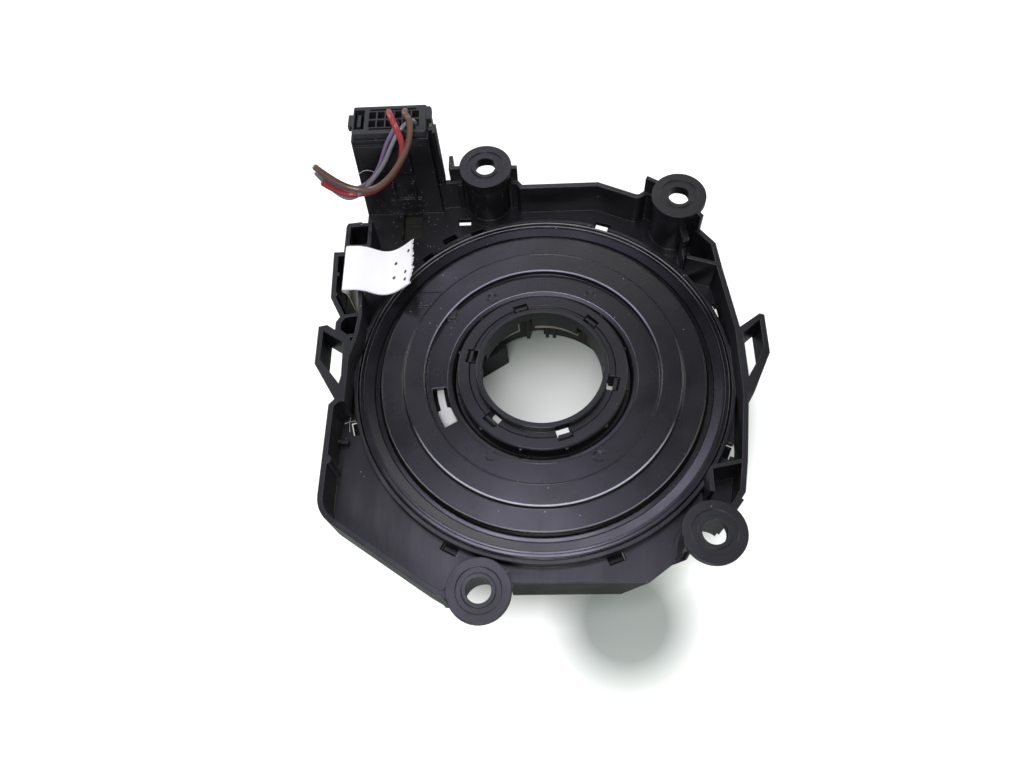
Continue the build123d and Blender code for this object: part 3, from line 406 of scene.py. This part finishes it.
# Fins beside the two near bosses
cuts += [
    (block(-27.6, -24.9, -70.0, -66.4), plate_high - 0.1, flange_high + 0.5),
    (block(-27.6, -24.9, -66.38, -62.6), wall_high + 0.02, flange_high + 0.5),
    (block(32.6, 34.6, -57.2, -52.6), plate_high + skin, flange_high + 0.5),
    (block(34.62, 37.0, -57.2, -52.9), plate_high + skin, wall_high + 0.1),
]
cuts += [(radial_block(angle, inner, outer, window_w), plate_low - 0.4, 1.0)
         for angle, inner, outer in far_windows]
# Rib by the far boss
cuts.append((block(43.2, 45.2, 34.9, 39.1), 5.5, wall_high + 0.3))
cutter = prisms("cutter", cuts)
trimmed = nodes["housing"].copy()
trimmed.data = nodes["housing"].data.copy()
trimmed.name = trimmed.data.name = "housing_moulding"
trimmed.parent = None
scene.collection.objects.link(trimmed)
weld_reach = 0.000002
weld = bmesh.new()
weld.from_mesh(trimmed.data)
bmesh.ops.remove_doubles(weld, verts=weld.verts, dist=weld_reach)
weld.to_mesh(trimmed.data)
weld.free()
trim = trimmed.modifiers.new("trim", "BOOLEAN")
trim.operation = "DIFFERENCE"
trim.solver = "EXACT"
trim.object = cutter
bpy.context.view_layer.update()
depsgraph = bpy.context.evaluated_depsgraph_get()
result = bpy.data.meshes.new_from_object(trimmed.evaluated_get(depsgraph))
trimmed.modifiers.clear()
trimmed.data = result
bpy.data.objects.remove(cutter)
smooth_by_angle(result)
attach(trimmed, "stator")
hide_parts("housing")

foot_arcs = [(-182, 2), (-224, -42), (48, 194), (40, 182)]
stem_in_r, stem_out_r = 5.45, 7.0
foot_in_r, foot_out_r = 6.9, 8.3
stem_rows = [(sector(centre, stem_in_r, stem_out_r, *arc), plate_low, wall_high + 0.3)
             for centre, arc in zip(bosses, stem_arcs)]
stem_rows += [(sector(centre, foot_in_r, foot_out_r, *arc), plate_low + 0.02, plate_high + 0.02)
              for centre, arc in zip(bosses, foot_arcs)]
# Ribs below the plate that darken the far windows, each by its angle and inner radius
rib_t, rib_w, rib_low = 0.8, 7.5, -13.0
stem_rows += [(radial_block(angle, start, start + rib_t, rib_w), rib_low, plate_low + 0.02)
              for angle, start in ((111.0, 58.6), (129.5, 58.6), (119.7, 60.5))]
# Clip on the far rib, and bracket on the near plate
clip = [(42.6, 45.8), (42.8, 42.6), (43.4, 40.0), (44.0, 39.2), (44.8, 39.1), (45.2, 39.8), (44.9, 41.0),
        (44.6, 45.4)]
bracket = [(-41.3, -55.1), (-41.0, -55.6), (-38.9, -57.2), (-38.5, -56.8)]
stems = prisms("boss_stems", [*stem_rows, (clip, wall_high - 1.2, wall_high + 0.7),
                              (bracket, plate_high - 0.02, plate_high + 0.8)])
stems.data.materials.append(housing_black)
smooth_by_angle(stems.data)
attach(stems, "stator")


def bead(name, radius, level, thickness, body, material):
    """The rounded edge of a round step, as a thin ring sunk into it."""
    bpy.ops.mesh.primitive_torus_add(
        major_radius=radius * MM, minor_radius=thickness * MM, major_segments=240, minor_segments=12,
        location=(0, 0, level * MM))
    ring = bpy.context.object
    ring.name = ring.data.name = name
    ring.data.materials.append(material)
    smooth_by_angle(ring.data, 60)
    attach(ring, body)


# Colours of the painted highlights on the rounded step edges
lilac, bright, grey_line = (0.27, 0.26, 0.33), (0.46, 0.46, 0.50), (0.17, 0.17, 0.175)
far_painted_highlight = painted_highlight_edge("far_painted_highlight", lilac, 4.0, 20.0)
near_painted_highlight = painted_highlight_edge("near_painted_highlight", bright, -16.0, -32.0)
near_painted_grey_highlight = painted_highlight_edge("near_painted_grey_highlight", grey_line, -10.0, -34.0)
far_painted_grey_highlight = painted_highlight_edge("far_painted_grey_highlight", grey_line, 18.0, 36.0)
bead("edge_recess", 34.62, 2.76, 0.30, "rotor", far_painted_highlight)
bead("edge_step", 40.50, 2.78, 0.30, "rotor", near_painted_highlight)
bead("edge_rim", 47.34, 1.44, 0.28, "rotor", near_painted_grey_highlight)
bead("edge_bore", 27.90, 0.98, 0.26, "rotor", far_painted_highlight)
bead("edge_cover", 53.12, -0.20, 0.26, "stator", far_painted_grey_highlight)
bead("edge_seat", 54.20, 0.18, 0.26, "stator", far_painted_grey_highlight)

# Wires: smooth splines that keep close to the solids' lines
terminal_top, bend_z = 31.6, 34.6
plug_centre, pitch = (-41.9, 68.1), (2.55, 3.2)
wires = {
    "brown": ((4, 1), 1.9, [
        (-38.0, 68.3, 38.0), (-37.7, 64.7, 40.4), (-36.0, 63.4, 38.8), (-37.2, 58.5, 33.8),
        (-42.1, 55.0, 27.2), (-48.3, 53.5, 21.4), (-54.3, 53.7, 20.4), (-61.0, 55.0, 23.0),
        (-66.6, 57.6, 27.6)]),
    "red": ((2, 1), 1.9, [
        (-42.9, 68.3, 37.9), (-41.9, 64.8, 40.0), (-40.0, 61.0, 38.4), (-38.6, 58.6, 33.0),
        (-41.9, 56.2, 25.8), (-48.4, 54.8, 19.6), (-54.0, 56.6, 15.4), (-60.7, 56.1, 15.4),
        (-65.9, 57.2, 20.6)]),
    "violet": ((3, 0), 1.3, [
        (-41.0, 65.3, 37.4), (-40.7, 62.2, 37.4), (-44.0, 60.0, 33.4), (-47.2, 57.5, 26.0),
        (-51.5, 57.1, 19.8), (-58.3, 59.1, 13.9), (-62.9, 58.7, 15.6), (-67.5, 60.4, 21.6)]),
    "grey": ((5, 0), 1.3, [
        (-35.9, 65.3, 37.4), (-39.4, 61.7, 37.6), (-42.5, 59.2, 33.2), (-45.4, 57.5, 27.8),
        (-49.7, 56.6, 22.2), (-54.3, 55.7, 16.9), (-58.6, 56.8, 12.8), (-61.4, 57.5, 12.8),
        (-64.8, 58.0, 17.4), (-67.4, 58.8, 23.2)]),
}


def spline_curve(name, points, radius, material):
    """A tube along a smooth spline through the pull of its points, given in millimetres."""
    data = bpy.data.curves.new(name, "CURVE")
    data.dimensions = "3D"
    spline = data.splines.new("NURBS")
    spline.points.add(len(points) - 1)
    for target, point in zip(spline.points, points):
        target.co = (*[value * MM for value in point], 1.0)
    spline.order_u = 3
    spline.use_endpoint_u = True
    data.resolution_u = 16
    data.bevel_depth = radius * MM
    data.bevel_resolution = 5
    data.use_fill_caps = True
    curve = bpy.data.objects.new(name, data)
    scene.collection.objects.link(curve)
    data.materials.append(material)
    return curve


for colour, ((column, row), diameter, route) in wires.items():
    cell = (plug_centre[0] + (column - 2.5) * pitch[0], plug_centre[1] + (row - 0.5) * pitch[1])
    points = [(*cell, terminal_top), (*cell, bend_z), *route]
    wire = spline_curve(f"wire_{colour}_line", points, diameter / 2, wire_colours[colour])
    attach(wire, "stator")
    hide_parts(f"wire_{colour}")
    # Bare strands at the cut end
    tip = Vector(points[-1])
    ahead = (tip - Vector(points[-2])).normalized()
    side = ahead.orthogonal().normalized()
    for strand in range(5):
        turn = Matrix.Rotation(strand * math.tau / 5, 3, ahead)
        foot = tip - ahead * 0.6 + turn @ side * diameter * 0.2
        end = tip + ahead * 0.35 + turn @ side * diameter * 0.22
        hair = spline_curve(f"strand_{colour}_{strand}", [foot, (foot + end) / 2, end], diameter * 0.13,
                            copper if colour == "red" else tin)
        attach(hair, "stator")

# Fibres that lie on the part
fibres = {
    "tower": [(-54.9, 59.0, 21.5), (-53.0, 58.6, 23.6), (-51.0, 58.4, 24.2), (-49.4, 58.6, 22.8),
              (-48.1, 59.0, 21.9), (-47.0, 59.4, 24.0)],
    "wall_a": [(-58.4, -13.1, -2.5), (-57.0, -12.5, -2.3), (-55.2, -12.3, -2.6)],
    "wall_b": [(-56.8, -10.9, -2.6), (-57.0, -13.4, -2.3), (-56.7, -15.7, -2.6)],
}
for name, route in fibres.items():
    fibre = spline_curve(f"fibre_{name}", route, 0.07, white)
    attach(fibre, "stator")

# Torn end of the flat cable
tail_profile = [(-57.4, -8.0), (-57.9, 2.0), (-57.9, 9.0), (-59.5, 10.6), (-58.8, 11.7), (-53.6, 10.8),
                (-48.4, 6.0), (-43.4, 7.0), (-39.0, 11.2)]
tail_y0, tail_y1, tail_t = 24.6, 40.2, 0.3


def quad_spline(points, steps):
    """Points of the quadratic B-spline with clamped ends over the control points."""
    controls = [Vector((x, z)) for x, z in points]
    mids = [controls[0]] + [(a + b) / 2 for a, b in zip(controls[1:-2], controls[2:-1])] + [controls[-1]]
    result = []
    for index, centre in enumerate(controls[1:-1]):
        start, end = mids[index], mids[index + 1]
        for step in range(steps):
            t = step / steps
            result.append((1 - t) ** 2 * start + 2 * t * (1 - t) * centre + t * t * end)
    return result + [controls[-1]]


tail_line = quad_spline(tail_profile, 14)
rows = 34
random.seed(7)
torn = [random.choice((-0.5, -0.1, 0.1, 0.2, 0.6)) + random.uniform(-0.15, 0.15) for _ in range(rows + 1)]
vertices, faces = [], []
columns = len(tail_line)
for side in (1, -1):
    for i, point in enumerate(tail_line):
        ahead = (tail_line[min(i + 1, columns - 1)] - tail_line[max(i - 1, 0)]).normalized()
        normal = Vector((-ahead.y, ahead.x))
        for j in range(rows + 1):
            across = j / rows
            # The last columns follow the slanted tear, and the very last its ragged edge
            cut = (0.5 * math.sin(across * 5.0) + across) * max(0.0, (i - columns + 6) / 5)
            cut += torn[j] * max(0.0, (i - columns + 3) / 2)
            place = point + normal * side * tail_t / 2 + ahead * cut
            skew = -0.3 + 1.75 * max(0.0, min(1.0, (place.x + 57.0) / 18.0))
            y = tail_y0 + skew + across * (tail_y1 - tail_y0)
            vertices.append((place.x * MM, y * MM, place.y * MM))
sheet_size = columns * (rows + 1)
for i in range(columns - 1):
    for j in range(rows):
        a = i * (rows + 1) + j
        quad = (a, a + 1, a + rows + 2, a + rows + 1)
        faces.append(quad)
        faces.append(tuple(sheet_size + index for index in reversed(quad)))
edge = [i * (rows + 1) for i in range(columns)] + [(columns - 1) * (rows + 1) + j for j in range(1, rows + 1)]
edge += [i * (rows + 1) + rows for i in range(columns - 2, -1, -1)] + list(range(rows - 1, 0, -1))
for a, b in zip(edge, edge[1:] + edge[:1]):
    faces.append((b, a, sheet_size + a, sheet_size + b))
mesh = bpy.data.meshes.new("torn_flat_cable")
mesh.from_pydata(vertices, [], faces)
mesh.validate()
for polygon in mesh.polygons:
    polygon.use_smooth = True
tail = bpy.data.objects.new("torn_flat_cable", mesh)
scene.collection.objects.link(tail)
mesh.materials.append(film)
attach(tail, "stator")
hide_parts("ribbon_tail")

# Floor, world and lamps
floor_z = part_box("housing")[0].z
floor_mesh = bpy.data.meshes.new("floor")
half = 3
corners = [(-half, -half, 0), (half, -half, 0), (half, half, 0), (-half, half, 0)]
floor_mesh.from_pydata(corners, [], [(0, 1, 2, 3)])
floor = bpy.data.objects.new("floor", floor_mesh)
floor.location.z = floor_z - 0.0002
scene.collection.objects.link(floor)
floor_material = bpy.data.materials.new("floor")
floor_material.use_nodes = True
tree = floor_material.node_tree
bsdf = tree.nodes["Principled BSDF"]
bsdf.inputs["Base Color"].default_value = (0.29, 0.335, 0.285, 1)
bsdf.inputs["Roughness"].default_value = 0.5
place = tree.nodes.new("ShaderNodeTexCoord").outputs["Object"]
# The backdrop's own white is full at a distance; its fading below the part and in a patch below the front
# panel is painted shadow, and the glow added in the bore is painted light where light falls through it
closeness = near(tree, place, (0, 0, 0), 170)
away = ramp(tree, closeness, 0.59, 0.67, 0.95, 0.0)
# Painted shadow: less glow in a patch below the front panel
painted_shadow_patch = ramp(tree, near(tree, place, (22, -67, 0), 28), 0.15, 0.6, 1.0, 0.10)
away = math_node(tree, "MULTIPLY", away, painted_shadow_patch)
# Painted light: extra glow on the floor seen through the bore
painted_bore_light = math_node(tree, "MULTIPLY", near(tree, place, (8, -16, 0), 42), 0.80)
away = math_node(tree, "ADD", away, painted_bore_light)
glow = tree.nodes.new("ShaderNodeEmission")
path = tree.nodes.new("ShaderNodeLightPath")
tree.links.new(math_node(tree, "MULTIPLY", path.outputs["Is Camera Ray"], away), glow.inputs["Strength"])
both = tree.nodes.new("ShaderNodeAddShader")
tree.links.new(bsdf.outputs["BSDF"], both.inputs[0])
tree.links.new(glow.outputs["Emission"], both.inputs[1])
tree.links.new(both.outputs["Shader"], tree.nodes["Material Output"].inputs["Surface"])
floor_mesh.materials.append(floor_material)

world = bpy.data.worlds.new("studio")
scene.world = world
world.use_nodes = True
tree = world.node_tree
sky = tree.nodes["Background"]
sky.inputs["Color"].default_value = (0.93, 0.95, 1.0, 1)
direction = tree.nodes.new("ShaderNodeSeparateXYZ")
tree.links.new(tree.nodes.new("ShaderNodeTexCoord").outputs["Generated"], direction.inputs["Vector"])
# White sweep round the horizon, dim room above it
tree.links.new(ramp(tree, direction.outputs["Z"], 0.35, 0.66, 0.80, 0.10), sky.inputs["Strength"])


# Soft lamps that look at the part: place, side, power and colour
lamps = {
    "overhead": ((-0.05, 0.12, 0.94), 0.26, 1.5, (0.79, 0.76, 1.0)),
    "back_sky": ((0.06, 0.58, 0.85), 0.24, 0.12, (0.95, 0.94, 1.0)),
    "far_left": ((-0.16, 0.69, 0.90), 0.22, 0.62, (0.76, 0.73, 1.0)),
    "far_right": ((0.12, 0.80, 0.88), 0.22, 0.42, (1.0, 0.96, 0.91)),
    "left_key": ((-0.70, 0.48, 0.58), 0.35, 2.8, (0.98, 0.99, 1.0)),
    "right_key": ((0.76, 0.34, 0.52), 0.35, 2.4, (0.98, 0.99, 1.0)),
    "edge_light": ((-0.06, -0.46, 0.82), 0.30, 4.4, (0.97, 0.95, 1.0)),
}
for name, (lamp_place, side, power, colour) in lamps.items():
    data = bpy.data.lights.new(name, "AREA")
    data.size = side
    data.energy = power
    data.color = colour
    lamp = bpy.data.objects.new(name, data)
    lamp.location = lamp_place
    lamp.rotation_euler = (-Vector(lamp_place)).to_track_quat("-Z", "Y").to_euler()
    scene.collection.objects.link(lamp)

# Camera at the photograph's viewing angle; the focal length is in the picture's own units
camera_data = bpy.data.cameras.new("camera")
picture_width, focal_length = 1020, 825.65015
camera_data.sensor_width = 36.0
camera_data.lens = focal_length / picture_width * camera_data.sensor_width
camera_data.clip_start = 0.01
camera = bpy.data.objects.new("camera", camera_data)
pan, tilt, roll = 0.117407, 0.443963, -0.129757
camera_place = (0.002660569, -0.10510816, 0.219730429)
turn = Matrix.Rotation(pan, 3, "Z") @ Matrix.Rotation(tilt, 3, "X") @ Matrix.Rotation(roll, 3, "Z")
camera.matrix_world = Matrix.Translation(camera_place) @ turn.to_4x4()
scene.collection.objects.link(camera)
scene.camera = camera
scene.view_settings.view_transform = "Standard"
